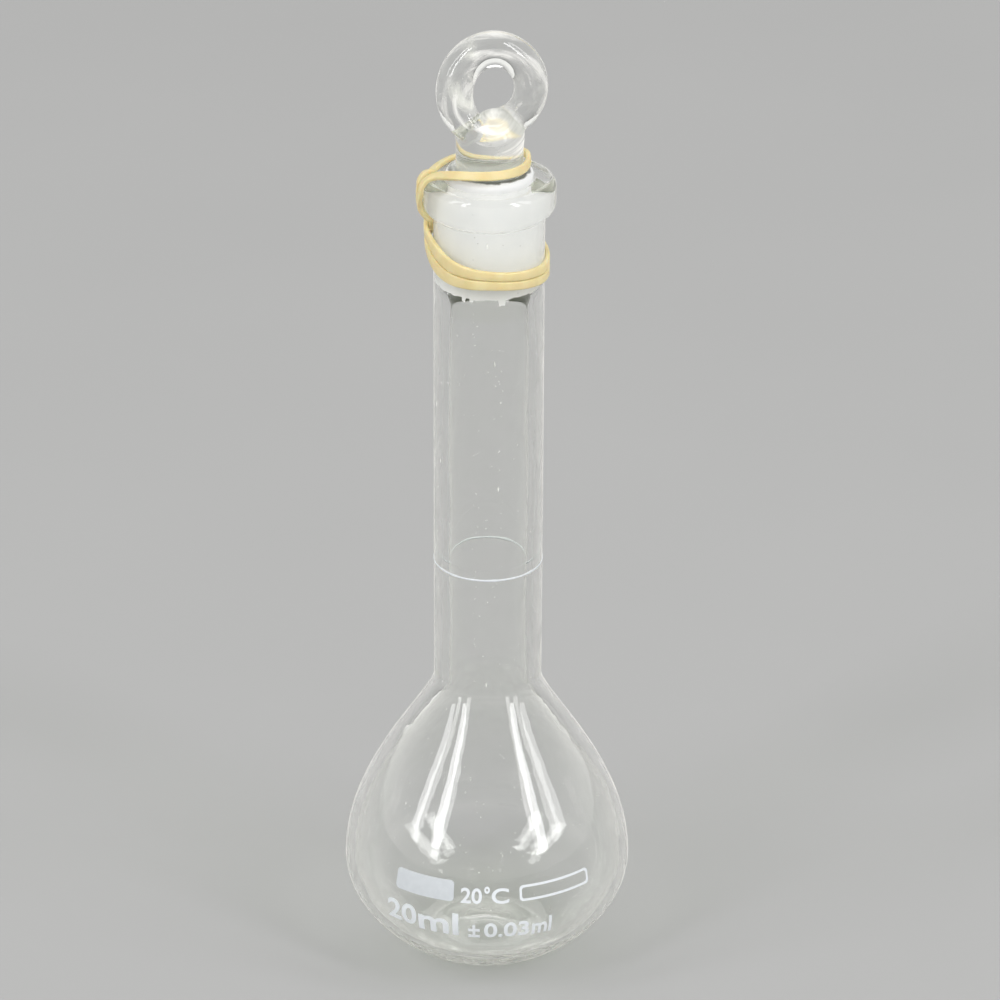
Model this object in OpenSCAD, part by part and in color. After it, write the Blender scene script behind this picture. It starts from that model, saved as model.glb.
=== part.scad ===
// Volumetric flask: a pear-shaped bulb on a flat foot, a long neck with one ring mark, a ground
// socket with a thick collar, and a solid stopper with a ring handle, tied on with a rubber band.
// The origin is the middle of the foot, on the surface that the flask stands on, and +Z runs up
// the neck. The front, where the print is, faces -Y. Angles round the flask are measured from the
// front, towards +X. All lengths are in millimetres.

/* [Bulb] */
// Largest diameter of the bulb
bulb_d = 35.6; // [34:0.1:38]
// Height of the bulb's widest circle
belly_h = 12.4; // [11:0.1:14]
// Thickness of the bulb's wall at its widest circle
bulb_wall = 1.2; // [0.9:0.05:1.6]
// Diameter of the flat foot
foot_d = 13.7; // [12:0.1:15]
// How far the middle of the foot is pushed up, so that the flask stands on a ring
kick_up = 1.1; // [0.5:0.1:1.6]
// Thickness of the glass in the foot
foot_wall = 1.5; // [1.2:0.1:2]

/* [Neck] */
// Outer diameter of the neck
neck_d = 13.3; // [12.9:0.1:13.8]
// Bore of the neck
neck_bore = 9.5; // [9.2:0.1:10]
// Height at which the shoulder of the bulb becomes the straight neck
neck_start_h = 37.9; // [36:0.1:42]
// Height of the ring mark
mark_h = 53.9; // [50:0.1:60]
// Height of the ring mark's printed line
mark_line = 0.3; // [0.2:0.05:0.5]

/* [Ground joint] */
// Height of the mouth of the flask
rim_h = 104.3; // [102:0.1:107]
// Bore of the ground socket at the mouth
joint_bore = 10.4; // [10.2:0.1:10.6]
// Length of the ground part of the socket
joint_len = 13; // [12:0.5:14]
// Radial clearance between the seated stopper and the socket
joint_clearance = 0.03; // [0.02:0.01:0.08]
// Outer diameter of the collar at the mouth
collar_d = 15.86; // [15.4:0.1:16.4]
// Height of the collar, down to where it runs out into the socket
collar_h = 4.7; // [4.6:0.1:5]

/* [Stopper] */
// How far the ground plug stands out of the mouth
plug_stand = 1.3; // [1:0.1:1.3]
// Diameter of the clear stem above the plug
stem_d = 8; // [7.6:0.1:8.4]
// Height of the centre of the stem's round top
stem_top_h = 108.7; // [108.2:0.1:109.2]
// Height of the centre of the ring handle
ring_h = 115.4; // [115:0.1:116]
// Half the width of the ring handle, to the middle of its rod
ring_half_w = 4.5; // [4.3:0.05:4.8]
// Half the height of the ring handle, to the middle of its rod
ring_half_h = 5.1; // [4.7:0.05:5.2]
// Diameter of the rod where it leaves the stem
rod_start_d = 4.8; // [4.2:0.1:4.8]
// Diameter of the rod at its other end
rod_end_d = 3.7; // [3.4:0.1:4]
// How far the rod's two ends lie in front of and behind the middle of the stem
ring_lead = 1.5; // [1:0.1:1.8]

/* [Rubber band] */
// Thickness of the band
band_thick = 0.55; // [0.45:0.05:0.6]
// Width of the band where it is slack, round the socket
band_w = 1.6; // [1.4:0.05:1.6]

/* [Writing patch] */
// Angle round the bulb at which the patch begins
patch_from = -39.3; // [-45:0.1:-35]
// Angle round the bulb at which the patch ends
patch_to = -13.3; // [-20:0.1:-10]
// Height of the patch's lower edge
patch_low = 14.9; // [13.5:0.1:15.5]
// Height of the patch's upper edge
patch_high = 17.6; // [17:0.1:19]
// Thickness of the fired enamel
enamel = 0.06; // [0.05:0.01:0.1]

/* [Hidden] */
$fn = 96;

glass_colour = [0.86, 0.93, 0.92, 0.45];
ground_colour = [0.93, 0.94, 0.95];
enamel_colour = [0.97, 0.97, 0.97];
band_colour = [0.94, 0.84, 0.55];

bulb_r = bulb_d / 2;
foot_r = foot_d / 2;
neck_r = neck_d / 2;
bore_r = neck_bore / 2;
collar_r = collar_d / 2;
stem_r = stem_d / 2;

// The outline of the bulb is two curves that meet at the belly. These are the lengths of their
// handles: along the foot, down from the belly, up from the belly, and down from the neck.
foot_handle = 2;
belly_drop = 6.95;
belly_rise = 11.5;
neck_handle = 3.65;
curve_steps = 24;
// The wall is a little thicker at the heel and the shoulder than at the belly.
heel_wall = 0.6;
heel_ease = 0.4;
shoulder_ease = 0.6;

// The ground joint narrows by 1 in 10 on its diameter.
half_taper = 1 / 20;
socket_start_h = rim_h - joint_len - 0.9;
ground_end_h = rim_h - joint_len - 0.4;
mouth_round = 0.35;
collar_round = 1.05;
collar_side_h = 2;
plug_end_h = ground_end_h + 0.5;
plug_top_h = rim_h + plug_stand;
plug_shoulder = 1;

ring_x = 0.35;
ring_start_angle = 250;
ring_end_angle = -74;
ring_steps = 40;
ring_sides = 16;

patch_corner = 0.5;
patch_reach = 30;
patch_margin = 2;
patch_w = 2 * bulb_r * sin((patch_to - patch_from) / 2);

// The band's route: each row is the angle round the flask, the distance from its axis, the
// height, the band's width there, and the tilt of its flat face, from 0 (facing outwards)
// to larger values (facing up). Rows are 2 to 3 mm apart.
// The hitch starts under the collar, goes round behind the socket as the lower turn, comes
// round the front, bends back at the left over its own ends, and goes round again above.
wrap_r = neck_r + 0.04 + band_thick / 2;
over_r = wrap_r + band_thick + 0.05;
w = band_w;
hitch_route = [
    [-88, wrap_r, 98.9, 1, 0],
    [-95, wrap_r, 97.9, 0.95, 0],
    [-105, wrap_r, 97.1, 0.95, 0],
    [-119, wrap_r, 96.6, 1, 0],
    [-136, wrap_r, 96.1, 1.4, 0],
    [-156, wrap_r, 95.3, w, 0],
    [-178, wrap_r, 94.4, w, 0],
    [-200, wrap_r, 93.6, w, 0],
    [-222, wrap_r, 93, w, 0],
    [-246, wrap_r, 92.6, 1.5, 0],
    [-270, wrap_r, 92.5, 1.2, 0],
    [-294, wrap_r, 92.5, 1.15, 0],
    [-318, wrap_r, 92.8, 1.1, 0],
    [-340, wrap_r, 93.1, 1.1, 0],
    [-360, wrap_r, 93.3, 1.15, 0],
    [-381, wrap_r, 93.3, 1.3, 0],
    [-403, wrap_r, 93.5, 1.5, 0],
    [-424, wrap_r + 0.05, 94.2, w, 0],
    [-441, wrap_r + 0.25, 95.1, 1.4, 0],
    [-453, over_r - 0.1, 95.7, 1.1, 0],
    [-464, over_r, 96, 1, 0],
    [-475, over_r, 96.4, 1, 0],
    [-482, over_r, 97.1, 1, 0],
    [-479, over_r, 98, 1, 0],
    [-468, over_r, 98.3, 1, 0],
    [-457, over_r, 97.9, 1, 0],
    [-446, over_r - 0.1, 97.4, 1.1, 0],
    [-434, wrap_r + 0.25, 96.8, 1.4, 0],
    [-420, wrap_r, 95.9, w, 0],
    [-400, wrap_r, 95.1, 1.5, 0],
    [-380, wrap_r, 94.7, 1.3, 0],
    [-360, wrap_r, 94.5, 1.15, 0],
    [-340, wrap_r, 94.25, 1.1, 0],
    [-318, wrap_r, 94, 1.1, 0],
    [-294, wrap_r, 93.75, 1.15, 0],
    [-270, wrap_r, 93.8, 1.2, 0],
    [-246, wrap_r, 94.2, 1.5, 0],
    [-222, wrap_r, 94.9, w, 0],
    [-200, wrap_r, 95.5, w, 0],
    [-178, wrap_r, 96.3, w, 0],
    [-156, wrap_r, 97.1, w, 0],
    [-136, wrap_r, 97.6, 1.2, 0],
    [-120, wrap_r, 97.7, 0.95, 0],
    [-108, wrap_r, 98.1, 0.95, 0],
    [-97, wrap_r, 98.9, 1, 0]
];
// The loop goes on from the hitch, over the collar, round the stopper's stem and back.
loop_route = [
    [-88, wrap_r, 98.9, 1, 0],
    [-86, 7.6, 99.5, 1, 0],
    [-83, 8.3, 100.7, 1, 0],
    [-79, 8.45, 101.9, 1, 0],
    [-75, 8.42, 103, 1, 0.1],
    [-73, 8.3, 104.1, 1, 0.8],
    [-71, 7.6, 105, 1, 1.6],
    [-64, 6.6, 105.6, 1.1, 1.4],
    [-42, 6.1, 106.3, 1.1, 0.8],
    [-18, 5.7, 106.6, 1.1, 0.6],
    [8, 5.3, 106.6, 1.1, 0.5],
    [36, 4.9, 106.5, 1.1, 0.3],
    [66, 4.65, 106.4, 1.1, 0.1],
    [98, 4.65, 106.6, 1.1, 0.1],
    [128, 4.9, 106.3, 1.1, 0.3],
    [154, 5.6, 105.9, 1.1, 0.8],
    [178, 6.1, 105.3, 1.1, 1.5],
    [200, 6.3, 104.9, 1.1, 3],
    [222, 6.4, 104.8, 1.1, 3],
    [245, 6.4, 104.8, 1.1, 3],
    [265, 6.8, 104.8, 1.1, 3],
    [273, 7.6, 104.9, 1, 1.6],
    [276, 8.3, 104.1, 1, 0.8],
    [275.5, 8.42, 103, 1, 0.1],
    [271, 8.45, 101.9, 1, 0],
    [267.5, 8.3, 100.7, 1, 0],
    [264.5, 7.6, 99.5, 1, 0],
    [263, wrap_r, 98.9, 1, 0]
];
band_sides = 8;
band_steps = 2;

// A point on the curve that starts at a, leaves towards b, and comes to d from c.
function curve_point(a, b, c, d, t) =
    a * pow(1 - t, 3) + b * 3 * t * pow(1 - t, 2) + c * 3 * t * t * (1 - t) + d * pow(t, 3);

function reversed(list) = [for (i = [len(list) - 1 : -1 : 0]) list[i]];

function curve(a, b, c, d, steps) = [for (i = [0 : steps]) curve_point(a, b, c, d, i / steps)];

function arc(x, y, r, from, to, steps) =
    [for (i = [0 : steps]) let (t = from + (to - from) * i / steps) [x + r * cos(t), y + r * sin(t)]];

// Height of the dome under the foot, which runs out to nothing at r_end.
function foot_dome(r, r_end) = kick_up * (1 + cos(180 * r / r_end)) / 2;

// The bulb's outside, from the foot to the neck, moved outwards by extra.
function bulb_outside(extra) = concat(
    curve([foot_r, 0], [foot_r + foot_handle, 0],
        [bulb_r + extra, belly_h - belly_drop], [bulb_r + extra, belly_h], curve_steps),
    curve([bulb_r + extra, belly_h], [bulb_r + extra, belly_h + belly_rise],
        [neck_r + extra, neck_start_h - neck_handle], [neck_r + extra, neck_start_h], curve_steps));

inner_r = bulb_r - bulb_wall;
inner_foot_r = foot_r - heel_wall;
bulb_inside = concat(
    curve([inner_foot_r, foot_wall], [foot_r + foot_handle, foot_wall],
        [inner_r, belly_h - belly_drop + heel_ease], [inner_r, belly_h], curve_steps),
    curve([inner_r, belly_h], [inner_r, belly_h + belly_rise - shoulder_ease / 2],
        [bore_r, neck_start_h - neck_handle - shoulder_ease], [bore_r, neck_start_h], curve_steps));

// Places r, at the angle a from the front, at height h.
function round_at(a, r, h) = [r * sin(a), -r * cos(a), h];

// A smooth curve through the rows of a list: row i and the fraction t towards the next row.
function smooth(rows, i, t) =
    let (n = len(rows) - 1,
        p0 = rows[max(i - 1, 0)], p1 = rows[i], p2 = rows[min(i + 1, n)], p3 = rows[min(i + 2, n)])
    0.5 * (2 * p1 + (p2 - p0) * t + (2 * p0 - 5 * p1 + 4 * p2 - p3) * t * t
        + (3 * p1 - 3 * p2 + p3 - p0) * pow(t, 3));

function smooth_rows(rows, steps) = [
    for (i = [0 : len(rows) - 2]) for (j = [0 : steps - 1]) smooth(rows, i, j / steps),
    rows[len(rows) - 1]];

function unit(v) = v / norm(v);

// The direction of travel at row i of a list of points.
function heading(pts, i) = unit(pts[min(i + 1, len(pts) - 1)] - pts[max(i - 1, 0)]);

// Joins rings of the same number of points into one closed tube.
module tube(rings) {
    sides = len(rings[0]);
    last = len(rings) - 1;
    polyhedron(
        points = [for (ring = rings) for (p = ring) p],
        faces = concat(
            [[for (k = [0 : sides - 1]) k]],
            [for (i = [0 : last - 1]) for (k = [0 : sides - 1])
                [i * sides + k, (i + 1) * sides + k,
                    (i + 1) * sides + (k + 1) % sides, i * sides + (k + 1) % sides]],
            [[for (k = [sides - 1 : -1 : 0]) last * sides + k]]));
}

// A row of a route, turned about the flask's axis.
function turned(row, turn) = [row[0] + turn, row[1], row[2], row[3], row[4]];

// A flat band along a route, with rounded edges. The two rows before it and the two after it are
// those of the stretch that it joins, so that the two stretches meet face to face.
module band(before, route, after) {
    rows = smooth_rows(concat(before, route, after), band_steps);
    pts = [for (row = rows) round_at(row[0], row[1], row[2])];
    tube([for (i = [2 * band_steps : len(rows) - 1 - 2 * band_steps])
        let (ahead = heading(pts, i),
            facing = round_at(rows[i][0], 1, rows[i][4]),
            across = unit(cross(ahead, facing)),
            out = cross(across, ahead))
        [for (k = [0 : band_sides - 1])
            let (t = 360 * (k + 0.5) / band_sides, reach = 1 / cos(180 / band_sides))
            pts[i] + across * cos(t) * reach * rows[i][3] / 2
                + out * sin(t) * reach * band_thick / 2]]);
}

module bulb() color(glass_colour) rotate_extrude()
    polygon(concat(
        [for (i = [0 : 8]) let (r = (foot_r - heel_wall * 2) * i / 8)
            [r, foot_dome(r, foot_r - heel_wall * 2)]],
        bulb_outside(0),
        reversed(bulb_inside),
        [for (i = [7 : -1 : 0]) let (r = inner_foot_r * i / 8)
            [r, foot_wall + foot_dome(r, inner_foot_r)]]));

module neck_tube() color(glass_colour) translate([0, 0, neck_start_h]) difference() {
    cylinder(r = neck_r, h = socket_start_h - neck_start_h);
    translate([0, 0, -1]) cylinder(r = bore_r, h = socket_start_h - neck_start_h + 2);
}

// Radius of the ground socket's bore at a height.
function socket_bore(h) = joint_bore / 2 - (rim_h - h) * half_taper;

module ground_socket() color(ground_colour) rotate_extrude()
    polygon(concat(
        [[bore_r, socket_start_h], [neck_r, socket_start_h]],
        [[neck_r, rim_h - collar_h]],
        curve([neck_r + 0.1, rim_h - collar_h], [neck_r + 0.6, rim_h - collar_h + 0.5],
            [collar_r, rim_h - collar_side_h - 2.1], [collar_r, rim_h - collar_side_h - 0.8], 6),
        arc(collar_r - collar_round, rim_h - collar_round, collar_round, 0, 90, 6),
        arc(joint_bore / 2 + mouth_round, rim_h - mouth_round, mouth_round, 90, 180, 4),
        [[socket_bore(ground_end_h), ground_end_h]]));

module graduation_ring() color(enamel_colour) translate([0, 0, mark_h - mark_line / 2])
    difference() {
        cylinder(r = neck_r + enamel, h = mark_line);
        translate([0, 0, -1]) cylinder(r = neck_r, h = mark_line + 2);
    }

// A flat plate with rounded corners, standing in the plane of X and Z.
module rounded_plate(w, h, corner, depth) rotate([90, 0, 0]) linear_extrude(depth) {
    square([w - 2 * corner, h], center = true);
    square([w, h - 2 * corner], center = true);
    for (x = [-1, 1]) for (y = [-1, 1])
        translate([x * (w / 2 - corner), y * (h / 2 - corner)]) circle(corner, $fn = 32);
}

// The part of the bulb's outside that lies near the writing patch, moved outwards by extra.
function near_patch(extra) = [for (p = bulb_outside(extra))
    if (p[1] > patch_low - patch_margin && p[1] < patch_high + patch_margin) p];

module writing_patch() color(enamel_colour) intersection() {
    rotate_extrude() polygon(concat(near_patch(enamel), reversed(near_patch(0))));
    rotate([0, 0, (patch_from + patch_to) / 2]) translate([0, -1, (patch_low + patch_high) / 2])
        rounded_plate(patch_w, patch_high - patch_low, patch_corner, patch_reach);
}

module stopper_plug() color(ground_colour) rotate_extrude()
    polygon(concat(
        [[0, plug_end_h]],
        arc(socket_bore(plug_end_h) - joint_clearance - 0.4, plug_end_h + 0.4, 0.4, -90, 0, 4),
        arc(socket_bore(plug_top_h) - joint_clearance - plug_shoulder, plug_top_h - plug_shoulder,
            plug_shoulder, 3, 90, 8),
        [[0, plug_top_h]]));

module stem_shape() rotate_extrude()
    polygon(concat(
        [[0, plug_top_h], [stem_r, plug_top_h]],
        arc(0, stem_top_h, stem_r, 0, 90, 16)));

module stopper_stem() color(glass_colour) stem_shape();

module stopper_ring() color(glass_colour) difference() {
    tube([for (i = [0 : ring_steps])
        let (s = i / ring_steps,
            a = ring_start_angle + (ring_end_angle - ring_start_angle) * s,
            middle = [ring_x + ring_half_w * cos(a), ring_lead * (2 * s - 1),
                ring_h + ring_half_h * sin(a)],
            r = (rod_start_d + (rod_end_d - rod_start_d) * s) / 2)
        [for (k = [0 : ring_sides - 1]) let (t = -360 * k / ring_sides)
            middle + r * (cos(t) * [cos(a), 0, sin(a)] + sin(t) * [0, 1, 0])]]);
    stem_shape();
}

hitch_end = len(hitch_route) - 1;
loop_end = len(loop_route) - 1;

module band_neck_hitch() color(band_colour)
    band([loop_route[2], loop_route[1]], hitch_route,
        [turned(loop_route[loop_end - 1], -360), turned(loop_route[loop_end - 2], -360)]);

module band_stopper_loop() color(band_colour)
    band([hitch_route[2], hitch_route[1]], loop_route,
        [turned(hitch_route[hitch_end - 1], 360), turned(hitch_route[hitch_end - 2], 360)]);

bulb();
neck_tube();
ground_socket();
graduation_ring();
writing_patch();
stopper_plug();
stopper_stem();
stopper_ring();
band_neck_hitch();
band_stopper_loop();
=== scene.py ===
"""A stoppered volumetric flask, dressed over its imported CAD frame.

Shapes are worked out in millimetres and become metres when their mesh is made. The frame is the
part's own: the origin is the middle of the foot, +Z runs up the neck and the front faces -Y.
Angles round the flask are in degrees from the front, towards +X.
"""

import math

import bmesh
import bpy
import numpy as np
from mathutils import Matrix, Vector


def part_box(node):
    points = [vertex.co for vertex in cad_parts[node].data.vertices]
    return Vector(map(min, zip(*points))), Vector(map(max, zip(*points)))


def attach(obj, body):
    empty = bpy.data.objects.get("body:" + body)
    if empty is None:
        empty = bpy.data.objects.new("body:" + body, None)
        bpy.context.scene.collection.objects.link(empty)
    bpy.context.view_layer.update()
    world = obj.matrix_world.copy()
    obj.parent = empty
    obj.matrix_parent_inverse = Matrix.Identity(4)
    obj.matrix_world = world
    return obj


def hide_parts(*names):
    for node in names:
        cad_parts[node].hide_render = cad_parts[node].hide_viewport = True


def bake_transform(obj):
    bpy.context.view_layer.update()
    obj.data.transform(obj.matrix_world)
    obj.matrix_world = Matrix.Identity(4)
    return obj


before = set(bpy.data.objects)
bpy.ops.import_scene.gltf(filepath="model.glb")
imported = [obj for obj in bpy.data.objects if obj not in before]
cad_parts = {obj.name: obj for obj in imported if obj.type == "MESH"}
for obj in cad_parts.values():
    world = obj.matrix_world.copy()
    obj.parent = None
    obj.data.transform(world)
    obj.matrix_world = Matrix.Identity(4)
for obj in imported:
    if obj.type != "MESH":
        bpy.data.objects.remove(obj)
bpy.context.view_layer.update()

MM = 0.001

# ---------------------------------------------------------------------------------------------
# Camera and stage
# ---------------------------------------------------------------------------------------------
CAMERA_AT = (0.00143, -0.56243, 0.34243)
CAMERA_DOWN = 26.536
CAMERA_ROLL = 0.279
CAMERA_LENS = 185.6

FLOOR_GAP = 0.00002
FLOOR_RADIUS = 6.0
FLOOR_SIDES = 96
FLOOR_COLOUR = (0.43, 0.43, 0.425)
FLOOR_DARKEST = 0.97
FILL_LIGHT = 0.45
# The studio as glass shows it: how steeply a ray looks up, from 0, level, to 1, straight up, and
# the colour there.
STUDIO = (
    (0.0, (0.95, 0.95, 0.93)),
    (0.15, (0.90, 0.90, 0.88)),
    (0.4, (0.34, 0.34, 0.35)),
    (1.0, (0.16, 0.16, 0.17)),
)


def make_camera():
    data = bpy.data.cameras.new("camera")
    data.lens = CAMERA_LENS
    data.clip_start = 0.01
    data.clip_end = 50.0
    camera = bpy.data.objects.new("camera", data)
    bpy.context.collection.objects.link(camera)
    turn = Matrix.Rotation(math.radians(90 - CAMERA_DOWN), 4, "X")
    roll = Matrix.Rotation(math.radians(CAMERA_ROLL), 4, "Z")
    camera.matrix_world = Matrix.Translation(CAMERA_AT) @ turn @ roll
    bpy.context.scene.camera = camera


# ---------------------------------------------------------------------------------------------
# Small helpers: shader nodes, curves and meshes
# ---------------------------------------------------------------------------------------------
def add_node(tree, kind, settings=None, **inputs):
    """A node of that kind. inputs are its sockets, by name with _ for spaces, or by place as _0 and
    _1. A socket given for one is linked, and a value is set."""
    made = tree.nodes.new(kind)
    for name, value in (settings or {}).items():
        setattr(made, name, value)
    for name, value in inputs.items():
        key = int(name[1:]) if name[1:].isdigit() else name.replace("_", " ")
        socket = made.inputs[key]
        if isinstance(value, bpy.types.NodeSocket):
            tree.links.new(value, socket)
        else:
            socket.default_value = value
    return made


def new_material(name):
    """(material, its tree, the output node, coordinates in millimetres)."""
    material = bpy.data.materials.new(name)
    material.use_nodes = True
    tree = material.node_tree
    tree.nodes.clear()
    output = tree.nodes.new("ShaderNodeOutputMaterial")
    place = add_node(tree, "ShaderNodeTexCoord")
    grow = add_node(tree, "ShaderNodeVectorMath", {"operation": "SCALE"},
                    _0=place.outputs["Object"], Scale=1 / MM)
    return material, tree, output, grow.outputs[0]


def math_node(tree, operation, first, second=0.0):
    """The result of an operation on two values, each of them a socket or a number."""
    made = add_node(tree, "ShaderNodeMath", {"operation": operation}, _0=first, _1=second)
    return made.outputs[0]


def vector_node(tree, operation, first, second=(0, 0, 0), output="Vector"):
    made = add_node(tree, "ShaderNodeVectorMath", {"operation": operation}, _0=first, _1=second)
    return made.outputs[output]


def split(tree, vector):
    """The X, Y and Z of a vector."""
    return tuple(add_node(tree, "ShaderNodeSeparateXYZ", None, Vector=vector).outputs)


def joined(tree, x, y, z):
    return add_node(tree, "ShaderNodeCombineXYZ", None, X=x, Y=y, Z=z).outputs[0]


def noise(tree, place, scale, detail, **more):
    made = add_node(tree, "ShaderNodeTexNoise", None, Vector=place, Scale=scale, Detail=detail,
                    **more)
    return made.outputs["Fac"]


def bump(tree, height, strength, depth_mm):
    made = add_node(tree, "ShaderNodeBump", None, Height=height, Strength=strength,
                    Distance=depth_mm * MM)
    return made.outputs[0]


def mixed(tree, share, first, second):
    return add_node(tree, "ShaderNodeMixShader", None, _0=share, _1=first, _2=second).outputs[0]


def seen_edge_on(tree):
    """From 0 where a face is seen face on to 1 where it is seen edge on."""
    return add_node(tree, "ShaderNodeLayerWeight", None, Blend=0.5).outputs["Facing"]


def colour_ramp(tree, factor, stops):
    ramp = add_node(tree, "ShaderNodeValToRGB", None, Fac=factor)
    elements = ramp.color_ramp.elements
    while len(elements) < len(stops):
        elements.new(0.5)
    for element, (position, colour) in zip(elements, stops):
        element.position = position
        element.color = (*colour, 1)
    return ramp.outputs["Color"]


def map_range(tree, value, from_low, from_high, to_low, to_high, smooth=False):
    settings = {"interpolation_type": "SMOOTHSTEP"} if smooth else None
    made = add_node(tree, "ShaderNodeMapRange", settings, Value=value, From_Min=from_low,
                    From_Max=from_high, To_Min=to_low, To_Max=to_high)
    return made.outputs["Result"]


def bezier(a, b, c, d, steps):
    t = np.linspace(0, 1, steps + 1)[:, None]
    a, b, c, d = map(np.array, (a, b, c, d))
    return a * (1 - t) ** 3 + 3 * b * t * (1 - t) ** 2 + 3 * c * t * t * (1 - t) + d * t**3


def arc(x, y, r, start, end, steps):
    t = np.radians(np.linspace(start, end, steps + 1))
    return np.stack([x + r * np.cos(t), y + r * np.sin(t)], axis=1)


def line(a, b, steps):
    return np.linspace(a, b, steps + 1)


def round_at(angle, r, h):
    """The points at that angle from the front, distance from the axis and height."""
    t = np.radians(angle)
    return np.stack(np.broadcast_arrays(r * np.sin(t), -r * np.cos(t), h), axis=-1)


def mesh_object(name, points_mm, faces, materials, face_slots=None, sharp=None):
    mesh = bpy.data.meshes.new(name)
    mesh.from_pydata((np.asarray(points_mm) * MM).tolist(), [], faces)
    for material in materials:
        mesh.materials.append(material)
    if face_slots is not None:
        mesh.polygons.foreach_set("material_index", np.asarray(face_slots, dtype=np.int32))
    shell = bmesh.new()
    shell.from_mesh(mesh)
    bmesh.ops.recalc_face_normals(shell, faces=shell.faces)
    shell.to_mesh(mesh)
    shell.free()
    mesh.shade_smooth()
    if sharp is not None:
        mesh.set_sharp_from_angle(angle=math.radians(sharp))
    piece = bpy.data.objects.new(name, mesh)
    bpy.context.collection.objects.link(piece)
    return piece


def band_of_faces(low, high, sides):
    """The faces between two rings of points, which start at low and at high."""
    after = [(k + 1) % sides for k in range(sides)]
    return [(low + k, low + after[k], high + after[k], high + k) for k in range(sides)]


def torus_faces(rings, sides):
    """The faces through that many rings of points, the last of which joins the first."""
    faces = []
    for i in range(rings):
        faces += band_of_faces(i * sides, (i + 1) % rings * sides, sides)
    return faces


def lathe(profile, sides, nudge=None):
    """Points and faces of a profile of (r, z) turned about the axis. Its two ends lie on the axis.
    nudge(angle, z, row) gives a small change of radius."""
    angles = np.arange(sides) * 360 / sides
    points = [(0, 0, profile[0][1])]
    for row, (r, z) in enumerate(profile[1:-1], start=1):
        change = nudge(angles, z, row) if nudge else 0
        points.extend(round_at(angles, r + change, z))
    points.append((0, 0, profile[-1][1]))
    last_ring = len(profile) - 3
    top, low = len(points) - 1, 1 + last_ring * sides
    faces = [(0, 1 + (k + 1) % sides, 1 + k) for k in range(sides)]
    for i in range(last_ring):
        faces += band_of_faces(1 + i * sides, 1 + (i + 1) * sides, sides)
    faces += [(low + k, low + (k + 1) % sides, top) for k in range(sides)]
    return np.array(points), faces


# ---------------------------------------------------------------------------------------------
# Materials
# ---------------------------------------------------------------------------------------------
GLASS_IOR = 1.474
GLASS_TINT = ((0.988, 0.993, 0.986), (1.0, 1.0, 0.998))
GLASS_DEPTH_TINT = (0.79, 0.83, 0.64)
GLASS_DEPTH_DENSITY = 14.0
# A ray that has turned more often than this in the glass goes straight on.
MOST_TURNS = 9
# How much lamp light each skin of clear glass lets by, from face on to edge on.
LAMP_PASSED = ((0.0, (0.985, 0.99, 0.98)), (0.6, (0.95, 0.96, 0.94)), (1.0, (0.40, 0.42, 0.38)))
# The map_range settings of this section: from low, from high, to low, to high.
HAZE = (0.45, 0.8, 0.0, 0.06)
# Dust: how much a spot covers by the distance from its middle, and its colour, which the painted
# rim highlight and the painted streaks on the stopper share.
SPOT = (0.04, 0.09, 0.75, 0.0)
DUST_AND_HIGHLIGHT_COLOUR = (0.96, 0.95, 0.91)
# A painted rim highlight: white laid over the glass where it is seen edge on. How much it covers,
# from face on to edge on, and how it is drawn out and broken into streaks.
RIM_HIGHLIGHT_SEEN = ((0.3, (0.0,) * 3), (0.6, (0.09,) * 3), (0.85, (0.3,) * 3), (1.0, (0.85,) * 3))
RIM_HIGHLIGHT_STRETCH = (1, 1, 0.3)
RIM_HIGHLIGHT_STREAKED = (0.35, 0.65, 0.55, 1.3)
# The stopper's painted reflections: white streaks for the light caught in its ring, how they are
# drawn out round the ring and outwards and how white they are, and a painted white veil round its
# dome, how strong it is and how far it reaches.
PAINTED_STREAK_STRETCH = (0.8, 0.9, 0.8)
PAINTED_STREAK_WHITE = (0.48, 0.7, 0.0, 0.65)
DOME_PAINTED_VEIL = 0.85
VEIL_FULL_TO = 0.2
VEIL_ENDS = 1.2

GROUND_WHITE = ((0.95, 0.955, 0.955), (0.985, 0.985, 0.98))
GROUND_LETS_BY = 0.15
# The ground zone's lower edge on the socket and upper edge on the plug: how ragged and how soft,
# in mm.
SOCKET_EDGE_RAGGED = 0.14
SOCKET_EDGE_SOFT = 0.05
PLUG_EDGE_RAGGED = 0.1
PLUG_EDGE_SOFT = 0.08
# Chips under the socket's edge: the angle from the front, half the width in degrees, and the drop.
# Each one's side slopes over the last degree.
GROUND_CHIPS = ((17, 4, 0.75), (-23, 2, 0.4), (-34, 2, 0.5))
CHIP_SIDE = 1

PATCH_WHITE = ((0.575, 0.605, 0.63), (0.615, 0.645, 0.67))
PRINT_WHITE = ((0.74, 0.77, 0.80), (0.78, 0.81, 0.84))
ENAMEL_ROUGH = (0.3, 0.7, 0.35, 0.5)
LATEX_YELLOW = ((0.71, 0.59, 0.29), (0.79, 0.68, 0.38))
LATEX_ROUGH = (0.3, 0.7, 0.4, 0.6)


def let_lamps_through(tree, surface):
    """Glass that lamps shine through, less so where it is seen edge on, so that they light what it
    covers. A ray caught in the glass for long goes straight on as well, and doesn't end black."""
    path = add_node(tree, "ShaderNodeLightPath").outputs
    lit = math_node(tree, "MAXIMUM", path["Is Shadow Ray"], path["Is Diffuse Ray"])
    caught = math_node(tree, "GREATER_THAN", path["Ray Depth"], MOST_TURNS)
    straight_on = math_node(tree, "MAXIMUM", lit, caught)
    free = math_node(tree, "SUBTRACT", 1.0, caught)
    passed = colour_ramp(tree, math_node(tree, "MULTIPLY", seen_edge_on(tree), free), LAMP_PASSED)
    through = add_node(tree, "ShaderNodeBsdfTransparent", None, Color=passed)
    return mixed(tree, straight_on, surface, through.outputs[0])


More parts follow.
